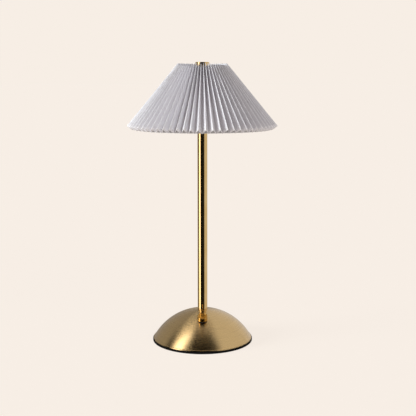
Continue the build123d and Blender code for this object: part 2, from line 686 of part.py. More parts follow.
LED_BOARD_THICKNESS = 1.6
LED_BOARD_RADIUS = 20.0
LED_CIRCLE = 15.0
LED_COUNT = 12
LED_SIZE = (2.8, 3.5, 0.8)
LED_BOARD_TOP = CARRIER_TOP + LED_BOARD_THICKNESS
with BuildPart() as led_board:
    with BuildSketch(Plane.XY.offset(CARRIER_TOP)):
        Circle(LED_BOARD_RADIUS)
        Circle(STUD_RADIUS, mode=Mode.SUBTRACT)
        with Locations((WIRE_REACH, 0)):
            Circle(WIRE_HOLE, mode=Mode.SUBTRACT)
        with PolarLocations(LED_SCREW_CIRCLE, LED_SCREWS, start_angle=90):
            Circle(SMALL_SCREW_RADIUS, mode=Mode.SUBTRACT)
    extrude(amount=LED_BOARD_THICKNESS)
save(led_board, "led_board")

with BuildPart() as led_chips:
    with BuildSketch(Plane.XY.offset(LED_BOARD_TOP)):
        with PolarLocations(LED_CIRCLE, LED_COUNT):
            Rectangle(*LED_SIZE[:2])
    extrude(amount=LED_SIZE[2])
save(led_chips, "led_chips")

with BuildPart() as led_screws:
    with BuildSketch(Plane.XY.offset(CARRIER_TOP - LED_SCREW_DEPTH)):
        with PolarLocations(LED_SCREW_CIRCLE, LED_SCREWS, start_angle=90):
            Circle(SMALL_SCREW_RADIUS)
    extrude(amount=LED_SCREW_DEPTH + LED_BOARD_THICKNESS)
    with BuildSketch(Plane.XY.offset(LED_BOARD_TOP)):
        with PolarLocations(LED_SCREW_CIRCLE, LED_SCREWS, start_angle=90):
            Circle(SMALL_HEAD_RADIUS)
    extrude(amount=SMALL_HEAD_HEIGHT)
save(led_screws, "led_screws")

# One lead from the board, in through the nipple's window and up the stem to the LEDs.
LAMP_ROUTE = [
    (*LAMP_PLUG, PLUG_TOP),
    (*LAMP_PLUG, 25.2),
    (0.0, -4.6, 25.2),
    (0.0, 0.2, 33.0),
    (0.5, 0.0, 58.0),
    (WIRE_REACH, 0.3, 110.0),
    (WIRE_REACH, 0.0, 165.0),
    (WIRE_REACH, 0.0, LED_BOARD_TOP),
]
with BuildPart() as lamp_wire:
    add(lead(LAMP_ROUTE, WIRE_RADIUS))
save(lamp_wire, "lamp_wire")

# Opal cap: slides over the carrier's seat and rests on its flange.
DIFFUSER_FOOT = STEM_TOP + FIN_HEIGHT + FLANGE_HEIGHT
DIFFUSER_TOP = 390.0
DIFFUSER_ROUND = 10.0
DIFFUSER_WALL = FLANGE_RADIUS - CARRIER_RADIUS
with BuildPart() as diffuser:
    with BuildSketch(Plane.XY.offset(DIFFUSER_FOOT)):
        Circle(FLANGE_RADIUS)
    extrude(amount=DIFFUSER_TOP - DIFFUSER_FOOT)
    fillet(diffuser.edges().sort_by(Axis.Z)[-1], DIFFUSER_ROUND)
    with BuildSketch(Plane.XY.offset(DIFFUSER_FOOT)):
        Circle(CARRIER_RADIUS)
    extrude(amount=DIFFUSER_TOP - DIFFUSER_ROUND - DIFFUSER_FOOT, mode=Mode.SUBTRACT)
    with BuildSketch(Plane.XY.offset(DIFFUSER_TOP - DIFFUSER_ROUND)):
        Circle(CARRIER_RADIUS)
    extrude(amount=DIFFUSER_ROUND - DIFFUSER_WALL, taper=45, mode=Mode.SUBTRACT)
    with BuildSketch(Plane.XY.offset(DIFFUSER_TOP)):
        Circle(STUD_RADIUS)
    extrude(amount=-DIFFUSER_ROUND, mode=Mode.SUBTRACT)
save(diffuser, "diffuser")

DIFFUSER_NUT_HEIGHT = 4.0
DIFFUSER_NUT_RADIUS = 8.0
with BuildPart() as diffuser_nut:
    with BuildSketch(Plane.XY.offset(DIFFUSER_TOP)):
        Circle(DIFFUSER_NUT_RADIUS)
        Circle(STUD_RADIUS, mode=Mode.SUBTRACT)
    extrude(amount=DIFFUSER_NUT_HEIGHT)
save(diffuser_nut, "diffuser_nut")

with BuildPart() as shade_stud:
    with BuildSketch(Plane.XY.offset(STUD_FOOT)):
        Circle(STUD_RADIUS)
    extrude(amount=STUD_TOP - STUD_FOOT)
save(shade_stud, "shade_stud")

SPACER_RADIUS = 4.5
with BuildPart() as spacer_tube:
    with BuildSketch(Plane.XY.offset(DIFFUSER_TOP + DIFFUSER_NUT_HEIGHT)):
        Circle(SPACER_RADIUS)
        Circle(STUD_RADIUS, mode=Mode.SUBTRACT)
    extrude(amount=HUB_BOTTOM - DIFFUSER_TOP - DIFFUSER_NUT_HEIGHT)
save(spacer_tube, "spacer_tube")

# ================================================================ shade frame
HUB_TOP = HUB_BOTTOM + HUB_THICKNESS
ARM_Z = HUB_BOTTOM + HUB_THICKNESS / 2
ARM_SEAT = 3.5
ARM_REACH = HUB_RADIUS - ARM_SEAT
with BuildPart() as shade_hub:
    with BuildSketch(Plane.XY.offset(HUB_BOTTOM)):
        Circle(HUB_RADIUS)
        Circle(STUD_RADIUS + RUNNING_GAP, mode=Mode.SUBTRACT)
    extrude(amount=HUB_THICKNESS)
    for azimuth in ARM_AZIMUTHS:
        outwards = (cos(radians(azimuth)), sin(radians(azimuth)), 0)
        socket = (ARM_REACH * outwards[0], ARM_REACH * outwards[1], ARM_Z)
        with BuildSketch(Plane(origin=socket, z_dir=outwards)):
            Circle(ARM_RADIUS)
        extrude(amount=ARM_SEAT + 1, mode=Mode.SUBTRACT)
save(shade_hub, "shade_hub")

# Both rings lie inside the lining, a small gap clear of it.
RING_GAP = 0.3
TOP_RING_WIRE = 1.3
BOTTOM_RING_WIRE = 1.5
BOTTOM_RING_Z = 331.5
SLANT = cos(atan((VALLEY_BOTTOM[0] - VALLEY_TOP[0]) / (VALLEY_TOP[1] - VALLEY_BOTTOM[1])))


def lining_radius(z):
    """Outer radius of the lining at this height, just inside the inner folds."""
    return valley_radius(z) - cloth_shift(z) - GLUE_GAP


def ring_radius(z, wire):
    """Radius of a frame ring that just clears the lining at this height."""
    return lining_radius(z) - (LINING_THICKNESS + wire + RING_GAP) / SLANT


TOP_RING_RADIUS = ring_radius(ARM_Z, TOP_RING_WIRE)
BOTTOM_RING_RADIUS = ring_radius(BOTTOM_RING_Z, BOTTOM_RING_WIRE)

with BuildPart() as shade_top_ring:
    with Locations((0, 0, ARM_Z)):
        Torus(TOP_RING_RADIUS, TOP_RING_WIRE)
save(shade_top_ring, "shade_top_ring")

with BuildPart() as shade_bottom_ring:
    with Locations((0, 0, BOTTOM_RING_Z)):
        Torus(BOTTOM_RING_RADIUS, BOTTOM_RING_WIRE)
save(shade_bottom_ring, "shade_bottom_ring")

# Rods end on the rings' wire, where they are welded.
with BuildPart() as spider_arms:
    for azimuth in ARM_AZIMUTHS:
        outwards = (cos(radians(azimuth)), sin(radians(azimuth)), 0)
        root = (ARM_REACH * outwards[0], ARM_REACH * outwards[1], ARM_Z)
        tip = (TOP_RING_RADIUS * outwards[0], TOP_RING_RADIUS * outwards[1], ARM_Z)
        add(rod(root, tip, ARM_RADIUS))
    add(shade_top_ring.part, mode=Mode.SUBTRACT)
save(spider_arms, "spider_arms")

STRUT_RADIUS = 1.1
with BuildPart() as shade_struts:
    for azimuth in ARM_AZIMUTHS:
        outwards = (cos(radians(azimuth)), sin(radians(azimuth)), 0)
        top = (TOP_RING_RADIUS * outwards[0], TOP_RING_RADIUS * outwards[1], ARM_Z)
        foot = (BOTTOM_RING_RADIUS * outwards[0], BOTTOM_RING_RADIUS * outwards[1], BOTTOM_RING_Z)
        add(rod(top, foot, STRUT_RADIUS))
    add(shade_top_ring.part, mode=Mode.SUBTRACT)
    add(shade_bottom_ring.part, mode=Mode.SUBTRACT)
    add(spider_arms.part, mode=Mode.SUBTRACT)
save(shade_struts, "shade_struts")

# ================================================================ pleated cloth
# Facets run between an outer and an inner fold. Both rims are cut square to the
# slant, so the outer folds end higher than the inner ones.


def past(start, end, share):
    """A point on the line from start to end, this share of the way along."""
    return tuple(a + share * (b - a) for a, b in zip(start, end))


RIM_BAND = [
    past(VALLEY_BOTTOM, RIDGE_BOTTOM, -1),
    past(VALLEY_BOTTOM, RIDGE_BOTTOM, 2),
    past(VALLEY_TOP, RIDGE_TOP, 2),
    past(VALLEY_TOP, RIDGE_TOP, -1),
]
with BuildPart() as shade_pleats:
    for z in (LOW, HIGH):
        with BuildSketch(Plane.XY.offset(z)):
            Polygon(*star(z), align=None)
    loft(ruled=True)
    for z in (LOW, HIGH):
        with BuildSketch(Plane.XY.offset(z)):
            Polygon(*star(z, cloth_shift(z)), align=None)
    loft(ruled=True, mode=Mode.SUBTRACT)
    with BuildSketch(Plane.XZ):
        with BuildLine():
            Polyline(*RIM_BAND, close=True)
        make_face()
    revolve(axis=Axis.Z, mode=Mode.INTERSECT)
save(shade_pleats, "shade_pleats")

# ================================================================ lining
# A smooth stiff cone that the inner folds are glued to. It shows between the pleats'
# ends, and its lower edge makes the shade's even lower line.
LINING_LOW, LINING_HIGH = VALLEY_BOTTOM[1] + 0.2, VALLEY_TOP[1] - 0.6
with BuildPart() as shade_lining:
    with BuildSketch(Plane.XZ):
        with BuildLine():
            Polyline(
                (lining_radius(LINING_LOW), LINING_LOW),
                (lining_radius(LINING_HIGH), LINING_HIGH),
                (lining_radius(LINING_HIGH) - LINING_THICKNESS / SLANT, LINING_HIGH),
                (lining_radius(LINING_LOW) - LINING_THICKNESS / SLANT, LINING_LOW),
                close=True,
            )
        make_face()
    revolve(axis=Axis.Z)
save(shade_lining, "shade_lining")

# ================================================================ finial
FINIAL_ROUND = 0.6
with BuildPart() as finial:
    with BuildSketch(Plane.XY.offset(HUB_TOP)):
        Circle(FINIAL_RADIUS)
    extrude(amount=FINIAL_TOP - HUB_TOP)
    fillet(finial.edges().filter_by(GeomType.CIRCLE), FINIAL_ROUND)
    with BuildSketch(Plane.XY.offset(HUB_TOP)):
        Circle(STUD_RADIUS + RUNNING_GAP)
    extrude(amount=STUD_TOP + 0.5 - HUB_TOP, mode=Mode.SUBTRACT)
save(finial, "finial")
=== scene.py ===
import random
from math import cos, pi, radians, sin

import bpy
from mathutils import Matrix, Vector


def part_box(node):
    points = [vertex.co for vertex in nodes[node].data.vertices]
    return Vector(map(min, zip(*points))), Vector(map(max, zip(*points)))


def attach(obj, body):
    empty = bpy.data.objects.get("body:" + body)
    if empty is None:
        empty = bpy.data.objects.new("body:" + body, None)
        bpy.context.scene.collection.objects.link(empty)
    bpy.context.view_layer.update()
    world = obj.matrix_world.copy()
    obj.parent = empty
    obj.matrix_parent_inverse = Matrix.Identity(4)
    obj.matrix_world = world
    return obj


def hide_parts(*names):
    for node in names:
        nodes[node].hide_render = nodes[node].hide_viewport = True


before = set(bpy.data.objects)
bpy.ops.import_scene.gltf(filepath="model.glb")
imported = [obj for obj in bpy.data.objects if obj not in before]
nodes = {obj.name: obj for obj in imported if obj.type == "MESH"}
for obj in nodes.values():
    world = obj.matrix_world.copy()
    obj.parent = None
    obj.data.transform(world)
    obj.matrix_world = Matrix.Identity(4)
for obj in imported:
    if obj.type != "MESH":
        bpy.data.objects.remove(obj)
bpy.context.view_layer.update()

MM = 0.001

# ---------------------------------------------------------------- the shade's sizes
# Each fold runs straight from the lower rim to the upper one. The outer folds are ridges and the
# inner ones valleys, and a fold's end is given as (distance from the axis, height).
shade_low, shade_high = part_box("shade_pleats")
RIM_STEP = 7.3 * MM        # at the lower rim, a valley is this much nearer to the axis than a ridge
RIM_RISE = 5.9 * MM        # and this much lower
CROWN_RADIUS = 37.1 * MM   # a ridge's distance from the axis at the upper rim
CROWN_STEP = 8.4 * MM
CROWN_RISE = 6.8 * MM
RIDGE_BOTTOM = Vector((shade_high.x, shade_low.z + RIM_RISE))
RIDGE_TOP = Vector((CROWN_RADIUS, shade_high.z))
VALLEY_BOTTOM = Vector((shade_high.x - RIM_STEP, shade_low.z))
VALLEY_TOP = Vector((CROWN_RADIUS - CROWN_STEP, shade_high.z - CROWN_RISE))

PLEAT_COUNT = 68
FACET = 10.8 * MM          # the cloth's width between two folds
SLANT = (RIDGE_BOTTOM - RIDGE_TOP).length
CLOTH_THICKNESS = 0.3 * MM
FOLD_ROUND = 0.10          # the part of a facet that each of its folds rounds off
CREST = 0.45 * MM          # ridges stand out by this, to make up for their rounding
VALLEY_LIFT = 0.4 * MM     # valleys stand out by this at half height, clear of the lining

# How much the pleats differ from each other, as standard deviations. PULL is also a limit: no
# fold is pulled further out than that.
SLIP = 0.05                # a fold's place round the cone, in facets
PULL = 0.2 * MM            # a fold's distance from the axis
DROOP = 0.15 * MM          # a fold's height
BOW = 0.12 * MM            # a facet's bulge
SWAY = 0.0015              # a fold's wander round the axis at half height, in radians
SEED = 7

# ---------------------------------------------------------------- colours
BRASS = (0.88, 0.63, 0.29, 1.0)
BRASS_DULL = (0.70, 0.50, 0.24, 1.0)
BRASS_WORN = (0.82, 0.56, 0.22, 1.0)
BRASS_DEEP = (0.70, 0.46, 0.15, 1.0)
BRASS_DEEP_WORN = (0.60, 0.38, 0.11, 1.0)

CLOTH = (0.80, 0.79, 0.82, 1.0)
CLOTH_GAP = (0.68, 0.665, 0.70, 1.0)
CLOTH_WARM = (0.79, 0.77, 0.79, 1.0)
# painted highlight: the colour the ridges are lightened to, as if they caught the light
CLOTH_RIDGE_HIGHLIGHT = (0.96, 0.96, 0.98, 1.0)
# painted shade: the darker colour the valleys are taken to
CLOTH_VALLEY_SHADE = (0.72, 0.69, 0.70, 1.0)

# Each of these is a pair: the colour, and the colour where it is worn or dusty.
ZINC = ((0.62, 0.62, 0.60, 1.0), (0.50, 0.51, 0.52, 1.0))
CAST_IRON = ((0.10, 0.10, 0.11, 1.0), (0.16, 0.13, 0.11, 1.0))
ALUMINIUM = ((0.74, 0.75, 0.76, 1.0), (0.66, 0.67, 0.69, 1.0))
RUBBER = ((0.004, 0.004, 0.004, 1.0), (0.010, 0.010, 0.010, 1.0))
BLACK_PLASTIC = ((0.02, 0.02, 0.021, 1.0), (0.035, 0.034, 0.033, 1.0))
WHITE_ENAMEL = ((0.80, 0.79, 0.76, 1.0), (0.72, 0.70, 0.66, 1.0))
WHITE_FILM = ((0.78, 0.78, 0.79, 1.0), (0.72, 0.71, 0.71, 1.0))
WHITE_BOARD = ((0.80, 0.80, 0.78, 1.0), (0.74, 0.73, 0.70, 1.0))
CELL_SLEEVE = ((0.04, 0.16, 0.30, 1.0), (0.06, 0.20, 0.34, 1.0))
WIRE_SLEEVE = ((0.42, 0.03, 0.025, 1.0), (0.35, 0.04, 0.035, 1.0))
PHOSPHOR = ((0.85, 0.66, 0.16, 1.0), (0.90, 0.75, 0.30, 1.0))
OPAL = ((0.90, 0.88, 0.83, 1.0), (0.94, 0.93, 0.90, 1.0))

SOLDER_MASK = (0.012, 0.10, 0.045, 1.0)
COPPER_TRACK = (0.03, 0.20, 0.08, 1.0)

BACKDROP = (0.930, 0.855, 0.783, 1.0)
FLOOR = (0.15, 0.138, 0.126, 1.0)
FLOOR_WORN = (0.153, 0.14, 0.128, 1.0)


# ---------------------------------------------------------------- shader building
def new_material(name):
    """A material, its node tree and its Principled shader."""
    material = bpy.data.materials.new(name)
    material.use_nodes = True
    tree = material.node_tree
    return material, tree, tree.nodes["Principled BSDF"]


def node(tree, kind, inputs=None, **settings):
    """A shader node. inputs maps a socket to a value or to another node's output."""
    made = tree.nodes.new("ShaderNode" + kind)
    for key, value in settings.items():
        setattr(made, key, value)
    for key, value in (inputs or {}).items():
        if isinstance(value, bpy.types.NodeSocket):
            tree.links.new(value, made.inputs[key])
        else:
            made.inputs[key].default_value = value
    return made


def maths(tree, operation, first, second=0.0, third=0.0):
    """The output of one Math node."""
    return node(tree, "Math", {0: first, 1: second, 2: third}, operation=operation).outputs[0]


def object_point(tree):
    """The point being shaded, in the lamp's own metres."""
    return node(tree, "TexCoord").outputs["Object"]


def scaled(tree, vector, scale):
    """A vector with each of its parts multiplied."""
    return node(tree, "VectorMath", {0: vector, 1: scale}, operation="MULTIPLY").outputs[0]


def noise(tree, vector, scale, detail=2.0, roughness=0.5):
    """A noise texture's value; scale is in repeats per metre."""
    inputs = {"Vector": vector, "Scale": scale, "Detail": detail, "Roughness": roughness}
    return node(tree, "TexNoise", inputs).outputs["Fac"]


def ramp(tree, value, low, high, out_low, out_high):
    """value from low..high taken to out_low..out_high, and held there beyond."""
    inputs = {"Value": value, "From Min": low, "From Max": high, "To Min": out_low, "To Max": out_high}
    return node(tree, "MapRange", inputs).outputs[0]


def mixed(tree, factor, first, second, kind="MIX"):
    """Two colours, or colour sockets, mixed by a factor."""
    inputs = {0: factor, 6: first, 7: second}
    return node(tree, "Mix", inputs, data_type="RGBA", blend_type=kind).outputs[2]


def bump(tree, shader, height, strength, distance, below=None):
    """A bump on the shader, on top of another bump's normal if one is given."""
    inputs = {"Strength": strength, "Distance": distance, "Height": height}
    if below is not None:
        inputs["Normal"] = below
    normal = node(tree, "Bump", inputs).outputs[0]
    tree.links.new(normal, shader.inputs["Normal"])
    return normal


def feed(tree, output, shader, socket):
    """Links an output to one of the shader's sockets."""
    tree.links.new(output, shader.inputs[socket])


# ---------------------------------------------------------------- metals
def polished_brass(name, bright, worn, rough):
    """Buffed brass: faint smudges and fine scratches along the stem."""
    material, tree, shader = new_material(name)
    point = object_point(tree)
    smudge = noise(tree, point, 60.0, 4.0, 0.6)
    streak = noise(tree, scaled(tree, point, (1.0, 1.0, 0.06)), 900.0, 3.0, 0.6)
    tone = mixed(tree, ramp(tree, smudge, 0.35, 0.7, 0.0, 1.0), bright, worn)
    feed(tree, tone, shader, "Base Color")
    gloss = ramp(tree, smudge, 0.3, 0.75, rough, rough + 0.04)
    gloss = maths(tree, "ADD", gloss, ramp(tree, streak, 0.5, 0.75, 0.0, 0.015))
    feed(tree, gloss, shader, "Roughness")
    bump(tree, shader, streak, 0.01, 0.000001)
    shader.inputs["Metallic"].default_value = 1.0
    return material


RING_SLOPE = 0.87     # mixes reach and height, so that rings are about as close on the flank as on top
RING_DRAW = 0.0012    # slows the noise down round the axis, which draws its grains out into rings


def brushed_brass():
    """Spun brass: fine rings round the axis, which draw highlights out up and down the dome."""
    material, tree, shader = new_material("brushed_brass")
    point = object_point(tree)
    parts = node(tree, "SeparateXYZ", {0: point})
    x, y, z = parts.outputs
    reach_squared = maths(tree, "MULTIPLY_ADD", x, x, maths(tree, "MULTIPLY", y, y))
    reach = maths(tree, "SQRT", reach_squared)
    turn = maths(tree, "ARCTAN2", x, y)
    climb = maths(tree, "SUBTRACT", maths(tree, "MULTIPLY", reach, RING_SLOPE), z)
    along = maths(tree, "MULTIPLY", turn, RING_DRAW)
    rings = node(tree, "CombineXYZ", {0: climb, 1: along}).outputs[0]
    fine = noise(tree, rings, 3500.0, 3.0, 0.7)
    coarse = noise(tree, rings, 700.0, 2.0, 0.5)
    smudge = noise(tree, point, 35.0, 4.0, 0.6)
    tone = mixed(tree, ramp(tree, maths(tree, "ADD", fine, coarse), 0.75, 1.25, 0.0, 1.0), BRASS_DULL, BRASS)
    tone = mixed(tree, ramp(tree, smudge, 0.4, 0.75, 0.0, 0.2), tone, BRASS_WORN)
    feed(tree, tone, shader, "Base Color")
    rough = ramp(tree, fine, 0.25, 0.75, 0.22, 0.29)
    rough = maths(tree, "ADD", rough, ramp(tree, smudge, 0.4, 0.8, 0.0, 0.03))
    feed(tree, rough, shader, "Roughness")
    height = maths(tree, "ADD", fine, maths(tree, "MULTIPLY", coarse, 0.6))
    bump(tree, shader, height, 0.2, 0.00001)
    shader.inputs["Metallic"].default_value = 1.0
    shader.inputs["Coat Weight"].default_value = 0.35
    shader.inputs["Coat Roughness"].default_value = 0.18
    shader.inputs["Anisotropic"].default_value = 1.0
    shader.inputs["Anisotropic Rotation"].default_value = 0.25
    tangent = node(tree, "Tangent", direction_type="RADIAL", axis="Z").outputs[0]
    feed(tree, tangent, shader, "Tangent")
    return material


def plain_metal(name, base, worn, rough, scale):
    """Cast, turned or plated metal: mottled tone and roughness, and a fine grain."""
    material, tree, shader = new_material(name)
    point = object_point(tree)
    mottle = noise(tree, point, scale, 5.0, 0.6)
    grain = noise(tree, point, scale * 30, 2.0, 0.6)
    feed(tree, mixed(tree, ramp(tree, mottle, 0.35, 0.7, 0.0, 1.0), base, worn), shader, "Base Color")
    feed(tree, ramp(tree, grain, 0.3, 0.7, rough - 0.06, rough + 0.08), shader, "Roughness")
    bump(tree, shader, grain, 0.3, 0.00004)
    shader.inputs["Metallic"].default_value = 1.0
    return material


def moulded(name, base, dusty, rough, grain_size=0.4 * MM, depth=0.04 * MM, shine=0.5):
    """Plastic, rubber or enamel: spark-eroded grain, uneven gloss and a little dust."""
    material, tree, shader = new_material(name)
    point = object_point(tree)
    grid = {"Vector": point, "Scale": 1 / grain_size}
    cells = node(tree, "TexVoronoi", grid, feature="SMOOTH_F1").outputs[0]
    cloud = noise(tree, point, 90.0, 4.0, 0.6)
    feed(tree, mixed(tree, ramp(tree, cloud, 0.45, 0.8, 0.0, 1.0), base, dusty), shader, "Base Color")
    feed(tree, ramp(tree, cloud, 0.3, 0.7, rough - 0.07, rough + 0.08), shader, "Roughness")
    bump(tree, shader, cells, 0.35, depth)
    shader.inputs["Specular IOR Level"].default_value = shine
    return material


# ---------------------------------------------------------------- cloth
THREAD_SCALE = 250.0  # of the wave texture, whose UV is in metres


def pleated_cloth():
    """Plain-woven white cloth: crossed threads and slubs along both, with a painted highlight along each
    ridge and painted shade down each valley.

    The fold attribute is 1 on a ridge and 0 in a valley.
    """
    material, tree, shader = new_material("pleated_cloth")
    uv = node(tree, "UVMap", uv_map="cloth").outputs[0]
    thread = {"Vector": uv, "Scale": THREAD_SCALE, "Distortion": 0.6, "Detail Scale": 3.0}
    warp = node(tree, "TexWave", thread, wave_type="BANDS", bands_direction="X").outputs["Fac"]
    weft = node(tree, "TexWave", thread, wave_type="BANDS", bands_direction="Y").outputs["Fac"]
    weave = maths(tree, "MULTIPLY", warp, weft)
    slub = noise(tree, scaled(tree, uv, (1.0, 0.05, 1.0)), 1500.0, 3.0, 0.6)
    slub_across = noise(tree, scaled(tree, uv, (0.05, 1.0, 1.0)), 1500.0, 3.0, 0.6)
    threads = maths(tree, "ADD", maths(tree, "ADD", slub, slub_across), weave)
    cloud = noise(tree, object_point(tree), 28.0, 3.0, 0.6)
    tone = mixed(tree, ramp(tree, threads, 0.7, 1.7, 0.0, 1.0), CLOTH_GAP, CLOTH)
    tone = mixed(tree, ramp(tree, cloud, 0.4, 0.75, 0.0, 0.6), tone, CLOTH_WARM)
    fold = node(tree, "Attribute", attribute_name="fold").outputs["Fac"]
    # Painted highlight: the cloth is lightened to near white along each ridge.
    tone = mixed(tree, ramp(tree, fold, 0.80, 0.96, 0.0, 0.9), tone, CLOTH_RIDGE_HIGHLIGHT)
    # Painted shade: the cloth is darkened towards the fold line of each valley.
    tone = mixed(tree, ramp(tree, fold, 0.35, 0.02, 0.0, 0.8), tone, CLOTH_VALLEY_SHADE)
    feed(tree, tone, shader, "Base Color")
    feed(tree, ramp(tree, threads, 0.6, 1.8, 0.92, 0.78), shader, "Roughness")
    fine = bump(tree, shader, threads, 0.45, 0.00008)
    bump(tree, shader, cloud, 0.15, 0.0004, below=fine)
    shader.inputs["Sheen Weight"].default_value = 0.15
    shader.inputs["Sheen Roughness"].default_value = 0.5
    shader.inputs["Specular IOR Level"].default_value = 0.2
    return material


# ---------------------------------------------------------------- inner parts
def circuit_board():
    """Green solder mask with copper tracks showing through, on a fine grid."""
    material, tree, shader = new_material("circuit_board")
    point = object_point(tree)
    tracks = node(tree, "TexVoronoi", {"Vector": point, "Scale": 320.0}, distance="CHEBYCHEV",
                  feature="DISTANCE_TO_EDGE").outputs[0]
    lines = ramp(tree, tracks, 0.06, 0.09, 1.0, 0.0)
    feed(tree, mixed(tree, lines, SOLDER_MASK, COPPER_TRACK), shader, "Base Color")
    feed(tree, ramp(tree, noise(tree, point, 400.0), 0.3, 0.7, 0.22, 0.34), shader, "Roughness")
    bump(tree, shader, lines, 0.4, 0.00005)
    return material


def opal():
    """Satin opal acrylic: soft light under the skin and a fine frosted grain."""
    material, tree, shader = new_material("opal")
    point = object_point(tree)
    frost = noise(tree, point, 2500.0, 2.0, 0.6)
    cloud = noise(tree, point, 50.0, 3.0, 0.5)
    feed(tree, mixed(tree, ramp(tree, cloud, 0.3, 0.7, 0.0, 1.0), *OPAL), shader, "Base Color")
    feed(tree, ramp(tree, frost, 0.3, 0.7, 0.34, 0.46), shader, "Roughness")
    bump(tree, shader, frost, 0.15, 0.00003)
    shader.inputs["Subsurface Weight"].default_value = 0.5
    shader.inputs["Subsurface Radius"].default_value = (0.006, 0.005, 0.004)
    return material


def paint_cad(finishes):
    """Gives each carried-over CAD node its material."""
    for material, names in finishes:
        for name in names:
            slots = nodes[name].data.materials
            slots.clear()
            slots.append(material)


# ---------------------------------------------------------------- pleated shade
def pleated_mesh(name):
    """One strip of cloth in accordion pleats round the cone.

    Each fold runs down the slant and is rounded over a tenth of a facet on either side. The
    pleats differ a little in width, depth and height, and each facet bows slightly, as
    pressed cloth does. Folds are numbered round the cone, valleys even and ridges odd, and a
    facet has the number of the fold before it.
    """
    dice = random.Random(SEED)
    fold_count = 2 * PLEAT_COUNT
    turns = []
    for number in range(fold_count):
        slip = dice.gauss(0.0, SLIP)
        turns.append(2 * pi * (number + slip) / fold_count)
    pull = [dice.gauss(0.0, PULL) for _ in range(fold_count)]
    droop = [dice.gauss(0.0, DROOP) for _ in range(fold_count)]
    bow = [dice.gauss(0.0, BOW) for _ in range(fold_count)]
    sway = [dice.gauss(0.0, SWAY) for _ in range(fold_count)]

    def fold_point(number, share):
        """A point on one fold line, from the lower rim (0) to the upper (1)."""
        outer = number % 2 == 1
        low, high = (RIDGE_BOTTOM, RIDGE_TOP) if outer else (VALLEY_BOTTOM, VALLEY_TOP)
        index = number % fold_count
        reach = low.x + (high.x - low.x) * share
        height = low.y + (high.y - low.y) * share
        swell = sin(pi * share)
        reach += min(pull[index], PULL) * (1 - 0.6 * share)
        reach += CREST if outer else VALLEY_LIFT * swell
        height += droop[index] * (1 - share) + 0.3 * droop[index - 1] * share
        angle = turns[index] + 2 * pi * (number // fold_count) + sway[index] * swell
        return Vector((reach * cos(angle), reach * sin(angle), height))

    def cloth_point(number, step, share):
        """A point on the cloth, step of the way across the facet after one fold."""
        if step > 0.5:
            return rounded(number + 1, step - 1, share)
        return rounded(number, step, share)

    def rounded(number, step, share):
        """The same, measured from the nearer fold, on either side of it. Its corner is a short curve."""
        corner = fold_point(number, share)
        before = corner.lerp(fold_point(number - 1, share), FOLD_ROUND)
        after = corner.lerp(fold_point(number + 1, share), FOLD_ROUND)
        if abs(step) < FOLD_ROUND:
            way = 0.5 + step / (2 * FOLD_ROUND)
            return before * (1 - way) ** 2 + corner * (2 * way * (1 - way)) + after * way**2
        side = number + 1 if step > 0 else number - 1
        facet = number if step > 0 else number - 1
        end = fold_point(side, share)
        across = (end - corner).normalized()
        normal = across.cross(Vector((0, 0, 1))).normalized()
        arch = bow[facet % fold_count] * 4 * abs(step) * (1 - abs(step))
        if step < 0:
            normal = -normal
        return corner.lerp(end, abs(step)) + normal * arch * (0.4 + 0.6 * sin(pi * share))

    stations = 25
    facet_steps = (0.0, 0.5 * FOLD_ROUND, FOLD_ROUND, 0.3, 0.5, 0.7, 1 - FOLD_ROUND, 1 - 0.5 * FOLD_ROUND)
    columns = [(number, step) for number in range(fold_count) for step in facet_steps]
    vertices, uvs, folds = [], [], []
    for row in range(stations):
        share = row / (stations - 1)
        for number, step in columns:
            vertices.append(cloth_point(number, step, share))
            folds.append(step if number % 2 == 0 else 1 - step)
            uvs.append(((number + step) * FACET, share * SLANT))
    width = len(columns)
    faces, corners = [], []
    for row in range(stations - 1):
        for column in range(width):
            after = (column + 1) % width
            quad = (row * width + column, row * width + after,
                    (row + 1) * width + after, (row + 1) * width + column)
            faces.append(quad)
            wrap = fold_count * FACET if after == 0 else 0.0
            for corner, index in enumerate(quad):
                u, v = uvs[index]
                corners.append((u + (wrap if corner in (1, 2) else 0.0), v))
    mesh = bpy.data.meshes.new(name)
    mesh.from_pydata(vertices, [], faces)
    layer = mesh.uv_layers.new(name="cloth")
    for loop, uv in zip(layer.data, corners):
        loop.uv = uv
    attribute = mesh.attributes.new("fold", "FLOAT", "POINT")
    attribute.data.foreach_set("value", folds)
    mesh.shade_smooth()
    mesh.update()
    return mesh


def make_shade(material):
    """The cloth of the shade. It stands for the CAD pleats and rides with the shade's frame."""
    shade = bpy.data.objects.new("pleated_shade", pleated_mesh("pleated_shade"))
    bpy.context.scene.collection.objects.link(shade)
    shade.data.materials.append(material)
    skin = shade.modifiers.new("cloth", "SOLIDIFY")
    skin.thickness = CLOTH_THICKNESS
    skin.offset = -1.0
    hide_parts("shade_pleats")
    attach(shade, "shade")


# ---------------------------------------------------------------- studio
# What the brass reflects. Each panel: azimuth range and height range in degrees, soft edge,
# brightness. Azimuth 0 is in front of the lamp (-Y) and 90 is to its right (+X).
PANELS = (
    ("key", (-75, -53), (-60, 72), 10.0, 3.6),
    ("fill", (46, 130), (-60, 75), 9.0, 0.62),
    ("back_right", (130, 181), (-60, 75), 6.0, 0.62),
    ("back_left", (-181, -98), (-60, 75), 6.0, 0.30),
    ("overhead", (-60, 60), (80, 92), 4.0, 0.15),
)
AMBIENT = 0.012
PANEL_TINT = (1.0, 0.96, 0.94, 1.0)

# What lights the cloth and the floor: an even room light and two soft suns, which stay out of
# reflections. Each sun: azimuth and height in degrees, its spread, power and colour.
ROOM_LIGHT = (0.31, 0.295, 0.30, 1.0)
LAMPS = (
    ("key_lamp", -72, 18, 24, 2.75, (0.92, 0.97, 0.99)),
    ("fill_lamp", 40, 30, 30, 0.35, (1.0, 0.98, 0.98)),
)
FLOOR_SIZE = 60.0
FLOOR_GLOW = 0.901    # brings the lit floor to the backdrop's tone

CAMERA_PLACE = (8.46 * MM, -1312.6 * MM, 411.1 * MM)
CAMERA_DIP = 8.83     # degrees below level
SENSOR_WIDTH = 36.0
LENS = 75.1


